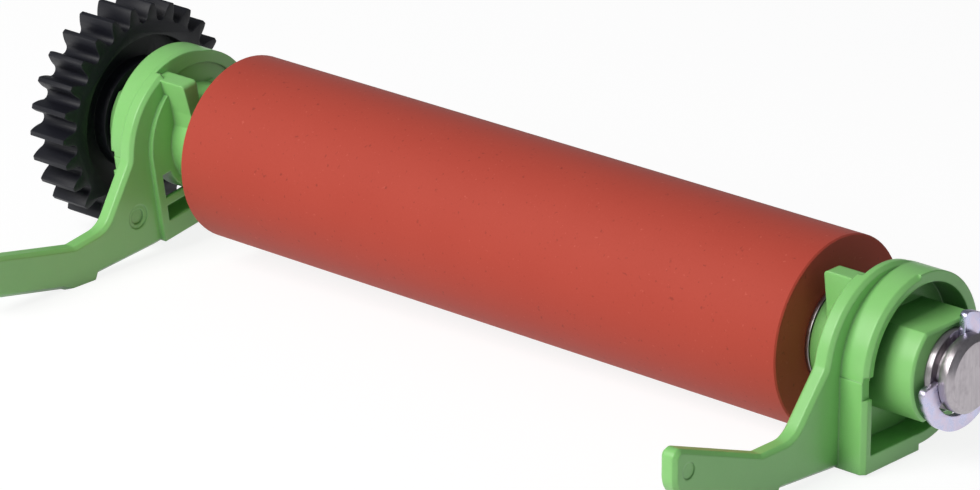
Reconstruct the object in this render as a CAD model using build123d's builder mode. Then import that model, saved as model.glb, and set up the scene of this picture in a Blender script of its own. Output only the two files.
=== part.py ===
from build123d import *
import os
from math import atan, cos, pi, radians, sin, sqrt, tan

# Platen roller: a rubber roller on a steel shaft, with a drive gear at the left end
# and a green moulded locking lever at each end, in which the shaft turns.
# Lengths are millimetres and angles are degrees. X runs along the shaft towards the
# end with the open retaining ring, Z is up, and the lever arms point to -Y.
# The origin is on the axis, at the middle of the rubber.

# Rubber and shaft
rubber_diameter = 20.0
rubber_length = 80.7
rubber_edge = 0.15
shaft_diameter = 8.0
shaft_chamfer = 0.55
running_clearance = 0.05

# Washers against the rubber's ends, and the levers' places beside them
washer_thickness = 0.5
washer_diameter = 10.8
washer_bore_clearance = 0.1
right_end_play = 0.15
left_end_play = 1.45
left_lever_turn = 9.5

# Retaining rings and their grooves
ring_thickness = 0.8
ring_diameter = 12.0
ring_body_width = 1.55
ring_prong_angle = 34.0
ring_mouth_angle = 96.0
ring_turn = 135.0
ring_end_round = 0.55
ring_clearance = 0.03
groove_depth = 1.0
groove_side_clearance = 0.1
right_ring_gap = 0.7
left_ring_gap = 0.1
right_shaft_land = 1.55
left_shaft_land = 1.3

# Drive gear and its seat on the shaft
gear_module = 0.9
gear_teeth = 26
gear_width = 5.1
pressure_angle = 20.0
tooth_addendum = 0.87
tooth_dedendum = 1.35
tooth_backlash = 0.25
gear_gap = 0.3
gear_rim_wall = 1.6
gear_hub_wall = 2.2
gear_web_recess = 1.7
gear_bore_clearance = 0.03
shaft_flat_depth = 0.8

# Lever: bearing hub, boss, and the thin round flange between them
hub_wall = 1.35
hub_projection = 5.55
boss_wall = 1.9
boss_length = 6.4
boss_flats = 9.2
boss_edge = 0.25
flange_radius = 8.85
flange_thickness = 1.0
flange_recess = 0.35
rim_width = 1.3

# Lever: frame wall outboard of the flange, square at its lower front corner
frame_depth = 3.1
frame_wall = 1.1
right_floor_wall = 1.8
left_floor_wall = 1.1
frame_front = 8.95
frame_bottom = 9.5
right_block_end = 0.2
left_block_end = -1.5
frame_bevel = 0.45
frame_bevel_end = 94.0
notch_depth = 0.4
notch_top = 0.5
notch_height = 2.3

# Lever: thick front lobe, and the arm with its foot
lobe_margin = 0.55
lobe_offset = 1.5
arm_thickness = 2.0
arm_edge = 0.4
arm_reach = 33.5
arm_rise = 20.0
arm_width = 4.5
neck_front = 10.9
neck_height = 1.2
neck_angle = 50.0
neck_round = 3.0
lobe_round = 1.6
shelf_drop = 4.5
shelf_end = 20.4
shelf_round = 0.8
tip_top_round = 0.9
tip_bottom_round = 2.2
under_slope = 3.8
foot_heel = 17.6
foot_length = 3.2
foot_depth = 9.8
foot_slant = 0.5
foot_round = 0.9
toe_length = 2.2

# Lever: raised pad and stop rib on the inboard side
pad_rise = 0.6
pad_margin = 0.65
pad_top = 6.7
pad_bottom_step = 0.15
rib_front = 4.4
rib_thickness = 1.5
rib_margin = 0.4
rib_bottom = 3.6
rib_lean = 0.5
rib_lean_length = 3.6
rib_height = 4.4
rib_round = 0.5

# Lever: window through the left lever's pocket floor, and ejector marks
window_wall = 0.65
window_back = 0.4
window_top = 1.8
window_bottom = 7.25
window_boss_gap = 0.3
window_bar = 0.9
window_bar_middle = 5.0
window_bar_depth = 0.45
dimple_reach = 11.0
dimple_drop = 5.2
dimple_radius = 0.85
dimple_depth = 0.35
dimple_rim_radius = 1.35
dimple_rim_depth = 0.15
tip_mark_inset = 2.0
tip_mark_drop = 2.1
tip_mark_radius = 0.85
tip_mark_depth = 0.12

# How close an edge must lie to a depth to count as lying at it
edge_tolerance = 0.01

# Worked-out sizes
half_length = rubber_length / 2
rubber_radius = rubber_diameter / 2
shaft_radius = shaft_diameter / 2
groove_radius = shaft_radius - groove_depth
groove_width = ring_thickness + groove_side_clearance
bore_radius = shaft_radius + running_clearance
hub_radius = bore_radius + hub_wall
boss_radius = bore_radius + boss_wall
frame_inner_radius = flange_radius - frame_wall
lobe_radius = flange_radius + lobe_margin
pad_radius = flange_radius - pad_margin
rib_top = flange_radius - rib_margin
window_front = frame_front - frame_wall - window_wall
lever_length = hub_projection + flange_thickness + boss_length
right_hub_end = half_length + washer_thickness + right_end_play
left_hub_end = half_length + washer_thickness + left_end_play
right_groove = right_hub_end + lever_length + right_ring_gap
right_shaft_end = right_groove + groove_width + right_shaft_land
gear_start = left_hub_end + lever_length + gear_gap
left_groove = gear_start + gear_width + left_ring_gap
left_shaft_end = left_groove + groove_width + left_shaft_land
pitch_radius = gear_module * gear_teeth / 2
tip_radius = pitch_radius + tooth_addendum * gear_module
root_radius = pitch_radius - tooth_dedendum * gear_module
base_radius = pitch_radius * cos(radians(pressure_angle))


def across(side, distance, turn=0.0):
    """Plane square to the shaft and facing outboard. Side is 1 at the right end and
    -1 at the left, and a turn swings the plane's front about the axis."""
    front = (0, side * cos(radians(turn)), side * sin(radians(turn)))
    return Plane(origin=(side * distance, 0, 0), x_dir=front, z_dir=(side, 0, 0))


def polar(radius, angle):
    """Point at a radius and an angle in radians."""
    return (radius * cos(angle), radius * sin(angle))


def sector(inner, outer, start, size):
    """Part of a flat ring, from a start angle over a size in degrees."""
    with BuildSketch() as piece:
        with BuildLine():
            arc_out = CenterArc((0, 0), outer, start, size)
            arc_in = CenterArc((0, 0), inner, start, size)
            Line(arc_in @ 0, arc_out @ 0)
            Line(arc_in @ 1, arc_out @ 1)
        make_face()
    return piece.sketch


def gear_profile():
    """Involute outline of the gear, with round roots. Each flank is an arc through
    three points of the involute, from the base circle to the tip."""
    pitch = 2 * pi / gear_teeth
    half_base = pitch / 4 - tooth_backlash / 2 / pitch_radius
    half_base += tan(radians(pressure_angle)) - radians(pressure_angle)
    low_radius = max(base_radius, root_radius)
    flank_radii = (low_radius, (low_radius + tip_radius) / 2, tip_radius)
    with BuildSketch() as profile:
        with BuildLine():
            for tooth in range(gear_teeth):
                centre = tooth * pitch
                rising = []
                falling = []
                for radius in flank_radii:
                    roll = sqrt(radius**2 - base_radius**2) / base_radius
                    lead = half_base - (roll - atan(roll))
                    rising.append(polar(radius, centre - lead))
                    falling.append(polar(radius, centre + lead))
                ThreePointArc(*rising)
                Line(rising[-1], falling[-1])
                ThreePointArc(*reversed(falling))
                next_foot = polar(low_radius, centre + pitch - half_base)
                ThreePointArc(falling[0], polar(root_radius, centre + pitch / 2), next_foot)
        make_face()
    return profile.sketch


def d_shape(radius, flat_depth):
    """Round section with one flat on its upper side."""
    with BuildSketch() as section:
        Circle(radius)
        with Locations((0, radius)):
            Rectangle(2 * radius, 2 * flat_depth, mode=Mode.SUBTRACT)
    return section.sketch


def corner_ring(side, radius, front, bottom, block_end):
    """Round shape that is square at its lower front corner, as far as a block end."""
    with BuildSketch() as shape:
        Circle(radius)
        with Locations((-side * (front + block_end) / 2, -bottom / 2)):
            Rectangle(front - block_end, bottom)
    return shape.sketch


def lever_outline(side, block_end):
    """Whole side view of a lever, with the arm to the front."""
    rise = tan(radians(arm_rise))
    neck_slope = tan(radians(neck_angle))
    neck_foot = neck_front + (neck_height + shelf_drop) / neck_slope
    tip_top = -shelf_drop + (arm_reach - shelf_end) * rise
    arm_depth = arm_width / cos(radians(arm_rise))
    toe = foot_heel + foot_length + toe_length
    toe_height = -shelf_drop + (toe - shelf_end) * rise - arm_depth
    heel_height = -frame_bottom + (foot_heel - frame_front) * tan(radians(under_slope))
    inner = frame_front / 2
    inner_height = neck_height + (neck_front - frame_front) * neck_slope
    corners = [
        ((inner, inner_height), 0),
        ((frame_front, inner_height), 0),
        ((neck_foot, -shelf_drop), neck_round),
        ((shelf_end, -shelf_drop), shelf_round),
        ((arm_reach, tip_top), tip_top_round),
        ((arm_reach, tip_top - arm_depth), tip_bottom_round),
        ((toe, toe_height), foot_round),
        ((foot_heel + foot_length, -foot_depth), foot_round),
        ((foot_heel + foot_slant, -foot_depth), foot_round),
        ((foot_heel, heel_height), 0),
        ((frame_front, -frame_bottom), 0),
        ((inner, -frame_bottom), 0),
    ]
    points = [(-side * reach, height) for (reach, height), _ in corners]
    with BuildSketch() as outline:
        with BuildLine():
            FilletPolyline(*points, radius=[r for _, r in corners], close=True)
        make_face()
        with Locations((-side * lobe_offset, 0)):
            Circle(lobe_radius)
        neck = outline.vertices().sort_by_distance((-side * neck_front, neck_height))[0]
        fillet(neck, lobe_round)
        add(corner_ring(side, flange_radius, frame_front, frame_bottom, block_end))
    return outline.sketch


def lever(side, hub_end, turn, floor_wall, block_end, bevelled, window, dimple):
    """One moulded locking lever: hub, flange, frame wall, boss, lobe, arm, pad and
    stop rib. The right one has the bevel, and the left one the window and dimple."""
    outline = lever_outline(side, block_end)
    frame_outer = corner_ring(side, flange_radius, frame_front, frame_bottom, block_end)
    frame_inner = corner_ring(
        side, frame_inner_radius, frame_front - frame_wall, frame_bottom - floor_wall, block_end
    )
    pad_shape = corner_ring(
        side, pad_radius, pad_radius, frame_bottom - pad_bottom_step, block_end
    )
    flange_in = hub_projection
    flange_out = hub_projection + flange_thickness
    frame_out = flange_out + frame_depth
    arm_in = flange_out - arm_thickness
    pad_in = arm_in - pad_rise
    rib_back = rib_front - rib_thickness
    large = 2 * arm_reach
    base = across(side, hub_end, turn)

    def ahead(limit):
        """Shift of a large rectangle so that it covers all that is further to the
        front than a limit."""
        return (-side * (limit + large / 2), 0)

    def off_depth(edge, depth):
        """How far an edge strays from one depth of the lever."""
        return max(abs(base.to_local_coords(edge @ t).Z - depth) for t in (0, 0.5, 1))

    def edges_at(depth):
        """Edges that lie flat at one depth of the lever."""
        return body.edges().filter_by(lambda e: off_depth(e, depth) < edge_tolerance)

    def reach_of(edge):
        """How far to the front the middle of an edge lies."""
        return -side * base.to_local_coords(edge @ 0.5).X

    with BuildPart() as body:
        # Thin flange and thick front part, chamfered along the arm's edges
        with BuildSketch(base.offset(flange_in)):
            add(outline)
        extrude(amount=flange_thickness)
        with BuildSketch(base.offset(arm_in)):
            add(outline)
            with Locations(ahead(rib_front)):
                Rectangle(large, large, mode=Mode.INTERSECT)
        extrude(amount=arm_thickness)
        inboard = [e for e in edges_at(arm_in) if reach_of(e) > rib_front + arm_edge]
        outboard = [e for e in edges_at(flange_out) if reach_of(e) > rib_front + arm_edge]
        chamfer(inboard + outboard, arm_edge)

        # Recess behind the rib, which leaves a rim round the thin flange
        with BuildSketch(base.offset(flange_in)):
            Circle(flange_radius - rim_width)
            with Locations(ahead(rib_back)):
                Rectangle(large, large, mode=Mode.SUBTRACT)
        extrude(amount=flange_recess, mode=Mode.SUBTRACT)

        # Frame wall
        with BuildSketch(base.offset(flange_in)):
            add(frame_outer)
            add(frame_inner, mode=Mode.SUBTRACT)
        extrude(amount=flange_thickness + frame_depth)

        # Raised pad in front of the stop rib
        with BuildSketch(base.offset(pad_in)):
            add(pad_shape)
            with Locations(ahead(rib_back)):
                Rectangle(large, 2 * frame_bottom, mode=Mode.INTERSECT)
            with Locations((0, pad_top - frame_bottom)):
                Rectangle(large, 2 * frame_bottom, mode=Mode.INTERSECT)
        extrude(amount=pad_rise + arm_thickness)

        # Stop rib that stands beside the hub
        with BuildSketch(base.offset(flange_in - rib_height)):
            with BuildLine():
                Polyline(
                    (-side * rib_front, -rib_bottom),
                    (-side * rib_front, rib_top - rib_lean_length),
                    (-side * (rib_front + rib_lean), rib_top),
                    (-side * rib_back, rib_top),
                    (-side * rib_back, -rib_bottom),
                    close=True,
                )
            make_face()
        extrude(amount=rib_height)
        rib_end = edges_at(flange_in - rib_height)
        fillet(rib_end.sort_by(Axis.Z)[-1], rib_round)

        # Boss with two flats, and the bearing hub
        with BuildSketch(base.offset(flange_in)):
            Circle(boss_radius)
            Rectangle(2 * boss_radius, boss_flats, mode=Mode.INTERSECT)
        extrude(amount=flange_thickness + boss_length)
        chamfer(edges_at(flange_out + boss_length), boss_edge)
        with BuildSketch(base):
            Circle(hub_radius)
        extrude(amount=hub_projection + flange_thickness)

        # Notch in the frame's outboard edge
        with BuildSketch(base.offset(frame_out - notch_depth)):
            with Locations((-side * (frame_front - frame_wall / 2), notch_top - notch_height / 2)):
                Rectangle(3 * frame_wall, notch_height)
        extrude(amount=2 * notch_depth, mode=Mode.SUBTRACT)

        # Bevel along the frame's outboard edge, from just over the top round to the front
        if bevelled:
            bevel = [
                (frame_out + frame_bevel, frame_bevel),
                (frame_out + frame_bevel, -2 * frame_bevel),
                (frame_out - 2 * frame_bevel, frame_bevel),
            ]
            begin = radians(frame_bevel_end)
            start = base.from_local_coords((side * cos(begin), sin(begin), 0)) - base.origin
            with BuildSketch(Plane(base.origin, x_dir=base.z_dir, z_dir=base.z_dir.cross(start))):
                with BuildLine():
                    Polyline([(x, flange_radius + y) for x, y in bevel], close=True)
                make_face()
            shaft_axis = Axis(base.origin, (1, 0, 0))
            revolve(axis=shaft_axis, revolution_arc=180 - frame_bevel_end, mode=Mode.SUBTRACT)
            with BuildSketch(Plane(base.origin, x_dir=base.z_dir, z_dir=-base.y_dir)):
                with BuildLine():
                    Polyline([(x, side * (frame_front + y)) for x, y in bevel], close=True)
                make_face()
            extrude(amount=frame_bottom, mode=Mode.SUBTRACT)

        # Bore for the shaft, right through
        with BuildSketch(base):
            Circle(bore_radius)
        extrude(amount=lever_length, mode=Mode.SUBTRACT)

        # Window between the frame's corner and the boss, with a thin bar across it
        if window:
            middle = (window_front + window_back) / 2
            width = window_front - window_back
            with BuildSketch(base.offset(pad_in)):
                with Locations((-side * middle, -(window_bottom + window_top) / 2)):
                    Rectangle(width, window_bottom - window_top)
                Circle(boss_radius + window_boss_gap, mode=Mode.SUBTRACT)
            extrude(amount=pad_rise + arm_thickness, mode=Mode.SUBTRACT)
            with BuildSketch(base.offset(pad_in)):
                with Locations((-side * middle, -window_bar_middle)):
                    Rectangle(width, window_bar)
            extrude(amount=window_bar_depth)

        # Ejector marks: a dimple inboard of the left arm's root, and one near each tip
        if dimple:
            for radius, deep in ((dimple_rim_radius, dimple_rim_depth), (dimple_radius, dimple_depth)):
                with BuildSketch(base.offset(arm_in)):
                    with Locations((-side * dimple_reach, -dimple_drop)):
                        Circle(radius)
                extrude(amount=deep, mode=Mode.SUBTRACT)
        mark_reach = arm_reach - tip_mark_inset
        mark_height = (mark_reach - shelf_end) * tan(radians(arm_rise)) - shelf_drop
        mark_height -= tip_mark_drop
        with BuildSketch(base.offset(flange_out - tip_mark_depth)):
            with Locations((-side * mark_reach, mark_height)):
                Circle(tip_mark_radius)
        extrude(amount=tip_mark_depth, mode=Mode.SUBTRACT)
    return body


def retaining_ring(side, start, turn):
    """Open retaining ring with three prongs that reach into its groove."""
    prong_inner = groove_radius + ring_clearance
    outer = ring_diameter / 2
    body_inner = outer - ring_body_width
    half_mouth = ring_mouth_angle / 2
    around = 360 - ring_mouth_angle
    with BuildPart() as ring:
        with BuildSketch(across(side, start, turn)) as face:
            add(sector(body_inner, outer, half_mouth, around))
            half_prong = ring_prong_angle / 2
            for middle in (half_mouth + half_prong, 180, -half_mouth - half_prong):
                add(sector(prong_inner, body_inner, middle - half_prong, ring_prong_angle))
            mouth_edge = prong_inner * cos(radians(half_mouth)) - ring_end_round
            fillet([v for v in face.vertices() if v.X > mouth_edge], ring_end_round)
        extrude(amount=ring_thickness)
    return ring


with BuildPart() as roller_sleeve:
    with BuildSketch(Plane.YZ.offset(-half_length)):
        Circle(rubber_radius)
        Circle(shaft_radius, mode=Mode.SUBTRACT)
    extrude(amount=rubber_length)
    rims = roller_sleeve.edges().filter_by(GeomType.CIRCLE).group_by(SortBy.RADIUS)[-1]
    chamfer(rims, rubber_edge)
roller_sleeve.part.label = "roller_sleeve"

with BuildPart() as shaft:
    with BuildSketch(Plane.YZ.offset(-left_shaft_end)):
        Circle(shaft_radius)
    extrude(amount=left_shaft_end + right_shaft_end)
    for groove in (right_groove, -left_groove - groove_width):
        with BuildSketch(Plane.YZ.offset(groove)):
            Circle(shaft_diameter)
            Circle(groove_radius, mode=Mode.SUBTRACT)
        extrude(amount=groove_width, mode=Mode.SUBTRACT)
    ends = shaft.edges().filter_by(GeomType.CIRCLE).sort_by(Axis.X)
    chamfer([ends[0], ends[-1]], shaft_chamfer)
    with BuildSketch(Plane.YZ.offset(-left_shaft_end)):
        with Locations((0, shaft_radius)):
            Rectangle(shaft_diameter, 2 * shaft_flat_depth)
    extrude(amount=left_shaft_end - gear_start + gear_gap / 2, mode=Mode.SUBTRACT)
shaft.part.label = "shaft"

with BuildPart() as drive_gear:
    gear_plane = Plane.YZ.offset(-gear_start - gear_width)
    with BuildSketch(gear_plane):
        add(gear_profile())
        add(d_shape(shaft_radius + gear_bore_clearance, shaft_flat_depth), mode=Mode.SUBTRACT)
    extrude(amount=gear_width)
    for depth in (0, gear_width - gear_web_recess):
        with BuildSketch(gear_plane.offset(depth)):
            Circle(root_radius - gear_rim_wall)
            Circle(shaft_radius + gear_hub_wall, mode=Mode.SUBTRACT)
        extrude(amount=gear_web_recess, mode=Mode.SUBTRACT)
drive_gear.part.label = "drive_gear"

washers = {}
for name, start in (("right_washer", half_length), ("left_washer", -half_length - washer_thickness)):
    with BuildPart() as washer:
        with BuildSketch(Plane.YZ.offset(start)):
            Circle(washer_diameter / 2)
            Circle(shaft_radius + washer_bore_clearance, mode=Mode.SUBTRACT)
        extrude(amount=washer_thickness)
    washer.part.label = name
    washers[name] = washer.part

ring_play = groove_side_clearance / 2
right_e_ring = retaining_ring(1, right_groove + ring_play, ring_turn)
right_e_ring.part.label = "right_e_ring"
left_e_ring = retaining_ring(-1, left_groove + ring_play, ring_turn)
left_e_ring.part.label = "left_e_ring"

right_lever = lever(1, right_hub_end, 0, right_floor_wall, right_block_end, True, False, False)
right_lever.part.label = "right_lever"
left_lever = lever(
    -1, left_hub_end, left_lever_turn, left_floor_wall, left_block_end, False, True, True
)
left_lever.part.label = "left_lever"

os.makedirs("parts", exist_ok=True)
export_step(roller_sleeve.part, "parts/roller_sleeve.step")
export_step(shaft.part, "parts/shaft.step")
export_step(drive_gear.part, "parts/drive_gear.step")
export_step(washers["right_washer"], "parts/right_washer.step")
export_step(washers["left_washer"], "parts/left_washer.step")
export_step(right_e_ring.part, "parts/right_e_ring.step")
export_step(left_e_ring.part, "parts/left_e_ring.step")
export_step(right_lever.part, "parts/right_lever.step")
export_step(left_lever.part, "parts/left_lever.step")
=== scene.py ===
from math import atan2, radians

import bmesh
import bpy
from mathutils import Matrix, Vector


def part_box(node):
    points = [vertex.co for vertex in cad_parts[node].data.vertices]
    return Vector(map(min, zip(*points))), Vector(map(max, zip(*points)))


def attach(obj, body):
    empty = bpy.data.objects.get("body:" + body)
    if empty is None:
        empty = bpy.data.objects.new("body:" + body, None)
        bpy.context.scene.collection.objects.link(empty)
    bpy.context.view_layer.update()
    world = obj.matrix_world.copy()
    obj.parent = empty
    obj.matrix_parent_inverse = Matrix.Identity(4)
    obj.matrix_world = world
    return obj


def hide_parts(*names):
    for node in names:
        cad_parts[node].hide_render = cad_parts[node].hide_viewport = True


# Platen roller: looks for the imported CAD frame, which is loaded first and stays as it is.
# Lengths are metres unless a name says mm.

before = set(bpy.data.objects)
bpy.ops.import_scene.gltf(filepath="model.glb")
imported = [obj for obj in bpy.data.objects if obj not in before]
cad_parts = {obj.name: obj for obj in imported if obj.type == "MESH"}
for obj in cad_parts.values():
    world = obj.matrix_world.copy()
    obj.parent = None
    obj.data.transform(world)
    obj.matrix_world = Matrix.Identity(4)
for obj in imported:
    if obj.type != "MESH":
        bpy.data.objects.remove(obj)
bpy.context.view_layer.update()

MM = 0.001

# Camera, as fitted to the photo. Angles are in degrees, and the sensor's size is in mm.
CAMERA_PLACE_MM = (345.17, -393.04, 198.76)
CAMERA_TURN = 41.73
CAMERA_PITCH = 20.91
CAMERA_LEVEL = 90
FOCAL_PIXELS = 5462.5
PHOTO_WIDTH = 980
SENSOR_MM = 36.0
NEAREST_SEEN = 0.01
FARTHEST_SEEN = 20

# Rounded edges of the gear and the steel pieces, made in copies of their meshes
WELD = 0.002 * MM
FLAT_ANGLE = radians(0.6)
EDGE_ANGLE = radians(26)
EDGE_SEGMENTS = 2
GEAR_EDGE = 0.07 * MM
METAL_EDGE = 0.06 * MM

# Softened edges of the levers, made in their shading alone, and painted shade: their colour darkened
# where the surface faces into an inner corner
PLASTIC_EDGE = 0.28 * MM
PLASTIC_EDGE_SAMPLES = 8
PAINTED_SHADE_REACH = 4.0 * MM
PAINTED_SHADE_SAMPLES = 8
PAINTED_SHADE_DEPTH = 0.75

# Surface colours, as sRGB values
RUBBER_DEEP = (0.735, 0.270, 0.205)
RUBBER_BRIGHT = (0.765, 0.298, 0.230)
RUBBER_GRAIN = (0.64, 0.22, 0.18)
RUBBER_DARK_SPECK = (0.42, 0.13, 0.11)
RUBBER_PALE_SPECK = (0.86, 0.45, 0.38)
GREEN_DEEP = (0.570, 0.845, 0.495)
GREEN_BRIGHT = (0.605, 0.870, 0.525)
GREEN_GRAIN = (0.45, 0.77, 0.38)
# Painted shade: the dark green laid over the levers where they face into a corner
GREEN_PAINTED_SHADE = (0.06, 0.36, 0.13)
BLACK_DEEP = (0.055, 0.060, 0.088)
BLACK_BRIGHT = (0.088, 0.092, 0.130)
BLACK_GRAIN = (0.14, 0.14, 0.185)
STEEL_DEEP = (0.60, 0.575, 0.60)
STEEL_BRIGHT = (0.80, 0.775, 0.79)
STEEL_STAIN = (0.48, 0.45, 0.48)
PLATING_BLUE = (0.78, 0.785, 0.90)
PLATING_PINK = (0.865, 0.825, 0.91)
PLATING_SPOT = (0.60, 0.60, 0.66)

# How finely a pattern varies along x, y and z. The shaft lies along x. The pale specks'
# own stretch puts them elsewhere than the dark ones.
EVEN = (1, 1, 1)
PALE_SPECKS = (1.1, 1.1, 1.1)
GRINDING = (9.0, 0.35, 0.35)
TURNING = (7.0, 3.0, 0.5)
SCRATCHES = (0.4, 6.0, 0.9)

# Studio, with its colours as linear values
FLOOR_SIZE = 6.0
FLOOR_GAP = 0.05 * MM
FLOOR_COLOUR = (0.72, 0.72, 0.73, 1.0)
FLOOR_ROUGHNESS = 0.9
FLOOR_GLOW = 1.22
FLOOR_GLOW_SHARE = 0.70
WHITE = (1, 1, 1, 1)
KEY_DIRECTION = (-0.18, -0.76, 0.62)
KEY_SIZE = 0.50
KEY_POWER = 4.9
KEY_COLOUR = (1.0, 0.985, 0.96)
SIDE_DIRECTION = (0.93, -0.20, 0.30)
SIDE_SIZE = 0.60
SIDE_POWER = 0.15
SIDE_COLOUR = (0.90, 0.95, 1.0)
LAMP_DISTANCE = 0.75
FILL_LEVEL = 0.18
FILL_COLOUR = (0.93, 0.96, 1.0, 1.0)
BACKDROP_LEVEL = 1.0

# Curve from sRGB values to linear ones
SRGB_STRAIGHT_END = 0.04045
SRGB_STRAIGHT_SLOPE = 12.92
SRGB_OFFSET = 0.055
SRGB_POWER = 2.4

# Sockets of Blender's mix node, when it mixes colours
MIX_AMOUNT = 0
MIX_FIRST = 6
MIX_SECOND = 7
MIX_RESULT = 2


def linear(colour):
    """sRGB colour as the opaque linear colour that Blender's sockets take."""
    def one(value):
        if value <= SRGB_STRAIGHT_END:
            return value / SRGB_STRAIGHT_SLOPE
        return ((value + SRGB_OFFSET) / (1 + SRGB_OFFSET)) ** SRGB_POWER
    return tuple(one(value) for value in colour) + (1.0,)


class Tree:
    """Short way to build a node tree. An input is given as a value or as another node's
    socket, and a pattern comes back as a socket."""

    def __init__(self, tree):
        self.tree = tree
        tree.nodes.clear()

    def add(self, kind, values=None, **settings):
        """New node, with its settings, and with inputs by name or by number."""
        node = self.tree.nodes.new(kind)
        for name, value in settings.items():
            setattr(node, name, value)
        for name, value in (values or {}).items():
            socket = node.inputs[name]
            if isinstance(value, bpy.types.NodeSocket):
                self.tree.links.new(value, socket)
            else:
                socket.default_value = value
        return node

    def math(self, operation, a, b):
        return self.add("ShaderNodeMath", {0: a, 1: b}, operation=operation).outputs[0]

    def rise(self, base, mask, amount):
        """Base where the mask is 0, and more by the amount where it is 1."""
        return self.math("ADD", base, self.math("MULTIPLY", mask, amount))

    def mix(self, amount, a, b):
        """Colour from a, at 0, to b, at 1. Each is a socket or an sRGB colour."""
        values = {MIX_AMOUNT: amount}
        for socket, colour in ((MIX_FIRST, a), (MIX_SECOND, b)):
            values[socket] = linear(colour) if isinstance(colour, tuple) else colour
        return self.add("ShaderNodeMix", values, data_type="RGBA").outputs[MIX_RESULT]

    def tint(self, base, mask, share, colour):
        """Base with a colour laid over it, by the mask times a share."""
        return self.mix(self.math("MULTIPLY", mask, share), base, colour)

    def ramp(self, mask, low, high):
        """0 under low, 1 over high, and smooth between them."""
        values = {"Value": mask, "From Min": low, "From Max": high}
        node = self.add("ShaderNodeMapRange", values, interpolation_type="SMOOTHSTEP")
        return node.outputs[0]

    def place(self, stretch=EVEN):
        """Position on the object in millimetres, with each axis stretched."""
        where = self.add("ShaderNodeTexCoord").outputs["Object"]
        scale = tuple(axis / MM for axis in stretch)
        return self.add("ShaderNodeMapping", {"Vector": where, "Scale": scale}).outputs[0]

    def noise(self, place, scale, detail=2.0, rough=0.5):
        """Noise from 0 to 1, with the scale in waves per millimetre of the place given."""
        values = {"Vector": place, "Scale": scale, "Detail": detail, "Roughness": rough}
        return self.add("ShaderNodeTexNoise", values).outputs[0]

    def bump(self, height, strength, depth, **more):
        """Normal of a surface that is this deep in metres between height 0 and 1."""
        values = {"Height": height, "Strength": strength, "Distance": depth, **more}
        return self.add("ShaderNodeBump", values).outputs[0]

    def finish(self, shader, colour, normal, roughness):
        """Links what varies over a surface to its shader."""
        self.tree.links.new(colour, shader.inputs["Base Color"])
        self.tree.links.new(normal, shader.inputs["Normal"])
        self.tree.links.new(roughness, shader.inputs["Roughness"])

    def ray_is(self, *kinds):
        """1 for a ray of any of these kinds, else 0."""
        path = self.add("ShaderNodeLightPath")
        found = path.outputs[kinds[0]]
        for kind in kinds[1:]:
            found = self.math("MAXIMUM", found, path.outputs[kind])
        return found

    def mix_shaders(self, amount, a, b):
        """Shader from a, at 0, to b, at 1."""
        values = {0: amount, 1: a.outputs[0], 2: b.outputs[0]}
        return self.add("ShaderNodeMixShader", values).outputs[0]


def set_uniform(shader, values):
    """Values that are the same all over a surface, on the shader's own sockets."""
    for name, value in values.items():
        shader.inputs[name].default_value = value


def material(name, build):
    """New material. build(tree, shader) sets the shader up, and may return another
    surface to show in its place."""
    made = bpy.data.materials.new(name)
    made.use_nodes = True
    tree = Tree(made.node_tree)
    shader = tree.add("ShaderNodeBsdfPrincipled")
    surface = build(tree, shader) or shader.outputs[0]
    tree.add("ShaderNodeOutputMaterial", {"Surface": surface})
    return made


# Materials

def rubber(tree, shader):
    """Ground rubber: fine dark and pale specks, faint rings from grinding."""
    at = tree.place()
    cloud = tree.noise(at, scale=0.09, detail=3.0)
    grain = tree.noise(at, scale=5.0, detail=3.0, rough=0.65)
    dark = tree.ramp(tree.noise(at, scale=1.9, detail=1.5), low=0.66, high=0.80)
    pale = tree.noise(tree.place(PALE_SPECKS), scale=2.2, detail=1.5)
    pale = tree.ramp(pale, low=0.68, high=0.80)
    rings = tree.noise(tree.place(GRINDING), scale=1.0)

    base = tree.mix(cloud, RUBBER_DEEP, RUBBER_BRIGHT)
    base = tree.tint(base, grain, share=0.16, colour=RUBBER_GRAIN)
    base = tree.tint(base, dark, share=0.40, colour=RUBBER_DARK_SPECK)
    base = tree.tint(base, pale, share=0.30, colour=RUBBER_PALE_SPECK)
    height = tree.rise(tree.math("MULTIPLY", grain, 0.7), rings, amount=0.5)
    normal = tree.bump(height, strength=0.35, depth=0.03 * MM)
    tree.finish(shader, base, normal, roughness=tree.rise(0.62, grain, amount=0.16))
    set_uniform(shader, {
        "Specular IOR Level": 0.32,
        "Sheen Weight": 0.10,
        "Sheen Roughness": 0.5})


def green_plastic(tree, shader):
    """Moulded acetal: waxy green, faint flow clouds, a fine satin grain, soft edges, and
    painted shade, a darker colour where the surface faces into a corner."""
    at = tree.place()
    cloud = tree.noise(at, scale=0.16, detail=3.0)
    grain = tree.noise(at, scale=3.2, detail=3.0, rough=0.6)
    waves = tree.noise(at, scale=0.55)
    # Painted shade: ambient occlusion darkens the base colour towards corners and recesses
    near = tree.add("ShaderNodeAmbientOcclusion", {"Distance": PAINTED_SHADE_REACH}, samples=PAINTED_SHADE_SAMPLES)
    unshaded_share = tree.ramp(near.outputs["AO"], low=0.10, high=0.70)

    base = tree.mix(cloud, GREEN_DEEP, GREEN_BRIGHT)
    base = tree.tint(base, grain, share=0.10, colour=GREEN_GRAIN)
    corner = tree.mix(PAINTED_SHADE_DEPTH, base, GREEN_PAINTED_SHADE)
    base = tree.mix(unshaded_share, corner, base)
    edge = tree.add("ShaderNodeBevel", {"Radius": PLASTIC_EDGE}, samples=PLASTIC_EDGE_SAMPLES)
    height = tree.rise(waves, grain, amount=0.35)
    normal = tree.bump(height, strength=0.22, depth=0.05 * MM, Normal=edge.outputs[0])
    tree.finish(shader, base, normal, roughness=tree.rise(0.27, grain, amount=0.12))
    set_uniform(shader, {
        "Specular IOR Level": 0.6,
        "Subsurface Weight": 0.18,
        "Subsurface Radius": (0.5, 1.0, 0.4),
        "Subsurface Scale": 0.8 * MM})


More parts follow.
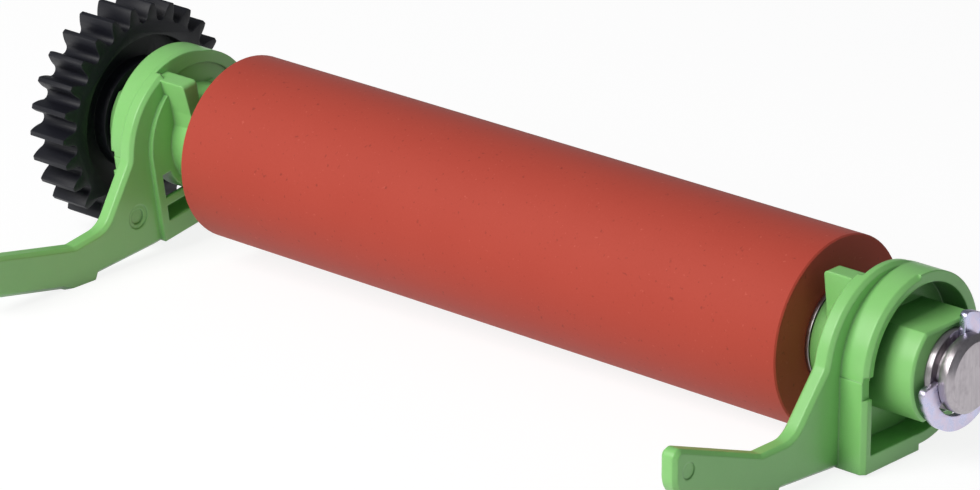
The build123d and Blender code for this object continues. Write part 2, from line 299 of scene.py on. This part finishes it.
def black_plastic(tree, shader):
    """Moulded gear: blue-black with a satin bloom and fine dust in its grain."""
    at = tree.place()
    cloud = tree.noise(at, scale=0.35, detail=3.0)
    grain = tree.noise(at, scale=4.5, detail=3.0, rough=0.6)

    base = tree.mix(cloud, BLACK_DEEP, BLACK_BRIGHT)
    base = tree.tint(base, grain, share=0.25, colour=BLACK_GRAIN)
    normal = tree.bump(tree.rise(grain, cloud, amount=0.8), strength=0.25, depth=0.04 * MM)
    tree.finish(shader, base, normal, roughness=tree.rise(0.42, grain, amount=0.18))
    set_uniform(shader, {"Specular IOR Level": 0.4})


def turned_steel(tree, shader):
    """Turned steel: fine rings round the shaft, and straight marks on its sawn ends."""
    rings = tree.noise(tree.place(TURNING), scale=1.0, detail=4.0, rough=0.7)
    stain = tree.ramp(tree.noise(tree.place(), scale=0.9, detail=3.0), low=0.5, high=0.75)

    base = tree.mix(rings, STEEL_DEEP, STEEL_BRIGHT)
    base = tree.tint(base, stain, share=0.3, colour=STEEL_STAIN)
    normal = tree.bump(rings, strength=0.6, depth=0.03 * MM)
    tree.finish(shader, base, normal, roughness=tree.rise(0.24, rings, amount=0.2))
    set_uniform(shader, {"Metallic": 1.0})


def plated_steel(tree, shader):
    """Zinc-plated stamping: bluish, with fine scratches and small darker spots."""
    at = tree.place()
    cloud = tree.ramp(tree.noise(at, scale=0.9, detail=3.0, rough=0.6), low=0.35, high=0.65)
    scratch = tree.noise(tree.place(SCRATCHES), scale=1.2, detail=3.0, rough=0.7)
    spots = tree.ramp(tree.noise(at, scale=2.2, detail=1.0), low=0.70, high=0.78)

    base = tree.mix(cloud, PLATING_BLUE, PLATING_PINK)
    base = tree.tint(base, spots, share=0.35, colour=PLATING_SPOT)
    normal = tree.bump(scratch, strength=0.22, depth=0.015 * MM)
    tree.finish(shader, base, normal, roughness=tree.rise(0.25, cloud, amount=0.2))
    set_uniform(shader, {"Metallic": 1.0})


def studio_floor(tree, shader):
    """Pale floor. What the camera or a shiny surface sees of it is mostly plain white, and
    the shadow stays faint on it."""
    set_uniform(shader, {"Base Color": FLOOR_COLOUR, "Roughness": FLOOR_ROUGHNESS})
    glow = tree.add("ShaderNodeEmission", {"Color": WHITE, "Strength": FLOOR_GLOW})
    seen = tree.ray_is("Is Camera Ray", "Is Glossy Ray", "Is Transmission Ray")
    return tree.mix_shaders(tree.math("MULTIPLY", seen, FLOOR_GLOW_SHARE), shader, glow)


# Pieces

def rounded_copy(node, body, width, made):
    """Copy of a CAD node with its sharp edges slightly rounded, which stands for it."""
    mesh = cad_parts[node].data.copy()
    solid = bmesh.new()
    solid.from_mesh(mesh)
    bmesh.ops.remove_doubles(solid, verts=solid.verts, dist=WELD)
    bmesh.ops.dissolve_limit(solid, angle_limit=FLAT_ANGLE, verts=solid.verts, edges=solid.edges)
    for face in solid.faces:
        face.smooth = True
    solid.to_mesh(mesh)
    solid.free()
    mesh.materials.clear()
    mesh.materials.append(made)

    piece = bpy.data.objects.new(node + "_rounded", mesh)
    bpy.context.scene.collection.objects.link(piece)
    bevel = piece.modifiers.new("edges", "BEVEL")
    bevel.width = width
    bevel.segments = EDGE_SEGMENTS
    bevel.limit_method = "ANGLE"
    bevel.angle_limit = EDGE_ANGLE
    bevel.use_clamp_overlap = False
    bevel.harden_normals = True
    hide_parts(node)
    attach(piece, body)


def paint(node, made):
    """The CAD node stays, with a new material in all its slots."""
    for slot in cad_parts[node].material_slots:
        slot.material = made


# Scene

def set_camera():
    """The photo's camera. One that isn't turned looks straight down."""
    camera = bpy.data.objects.new("camera", bpy.data.cameras.new("camera"))
    camera.location = Vector(CAMERA_PLACE_MM) * MM
    camera.rotation_euler = (radians(CAMERA_LEVEL - CAMERA_PITCH), 0, radians(CAMERA_TURN))
    camera.data.sensor_width = SENSOR_MM
    camera.data.lens = FOCAL_PIXELS / PHOTO_WIDTH * SENSOR_MM
    camera.data.clip_start = NEAREST_SEEN
    camera.data.clip_end = FARTHEST_SEEN
    bpy.context.scene.collection.objects.link(camera)
    bpy.context.scene.camera = camera


def set_floor():
    """Floor through the lowest points of the gear and of the rubber's far end, where
    the roller rests, so it is tipped slightly against the frame."""
    gear_low, gear_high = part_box("drive_gear")
    rubber_low, rubber_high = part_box("roller_sleeve")
    tip = atan2(rubber_low[2] - gear_low[2], rubber_high[0] - gear_high[0])
    half = FLOOR_SIZE / 2
    mesh = bpy.data.meshes.new("floor")
    corners = [(-half, -half, 0), (half, -half, 0), (half, half, 0), (-half, half, 0)]
    mesh.from_pydata(corners, [], [(0, 1, 2, 3)])
    mesh.materials.append(material("studio_floor", studio_floor))
    floor = bpy.data.objects.new("floor", mesh)
    floor.location = (gear_high[0], 0, gear_low[2] - FLOOR_GAP)
    floor.rotation_euler = (0, -tip, 0)
    bpy.context.scene.collection.objects.link(floor)


def add_lamp(name, direction, size, power, colour):
    """Square soft box that faces the object from a direction."""
    aim = Vector(direction).normalized()
    lamp = bpy.data.lights.new(name, "AREA")
    lamp.shape = "SQUARE"
    lamp.size = size
    lamp.energy = power
    lamp.color = colour
    stand = bpy.data.objects.new(name, lamp)
    stand.location = aim * LAMP_DISTANCE
    stand.rotation_euler = aim.to_track_quat("Z", "Y").to_euler()
    bpy.context.scene.collection.objects.link(stand)


def set_lights():
    """Key lamp in front and a weak one at the right end. The world lights the object with
    a dim pale blue, and the camera sees it as white."""
    add_lamp("key", KEY_DIRECTION, KEY_SIZE, KEY_POWER, KEY_COLOUR)
    add_lamp("side", SIDE_DIRECTION, SIDE_SIZE, SIDE_POWER, SIDE_COLOUR)
    world = bpy.data.worlds.new("studio")
    bpy.context.scene.world = world
    world.use_nodes = True
    tree = Tree(world.node_tree)
    fill = tree.add("ShaderNodeBackground", {"Color": FILL_COLOUR, "Strength": FILL_LEVEL})
    white = tree.add("ShaderNodeBackground", {"Color": WHITE, "Strength": BACKDROP_LEVEL})
    seen = tree.ray_is("Is Camera Ray", "Is Transmission Ray")
    tree.add("ShaderNodeOutputWorld", {"Surface": tree.mix_shaders(seen, fill, white)})


bpy.context.scene.view_settings.view_transform = "Standard"
set_camera()
set_floor()
set_lights()

red = material("rubber_red", rubber)
green = material("plastic_green", green_plastic)
black = material("plastic_black", black_plastic)
turned = material("steel_turned", turned_steel)
plated = material("steel_plated", plated_steel)

paint("roller_sleeve", red)
paint("right_lever", green)
paint("left_lever", green)
rounded_copy("drive_gear", "rotor", GEAR_EDGE, black)
for node in ("right_e_ring", "left_e_ring"):
    rounded_copy(node, "rotor", METAL_EDGE, plated)
for node in ("right_washer", "left_washer", "shaft"):
    rounded_copy(node, "rotor", METAL_EDGE, turned)
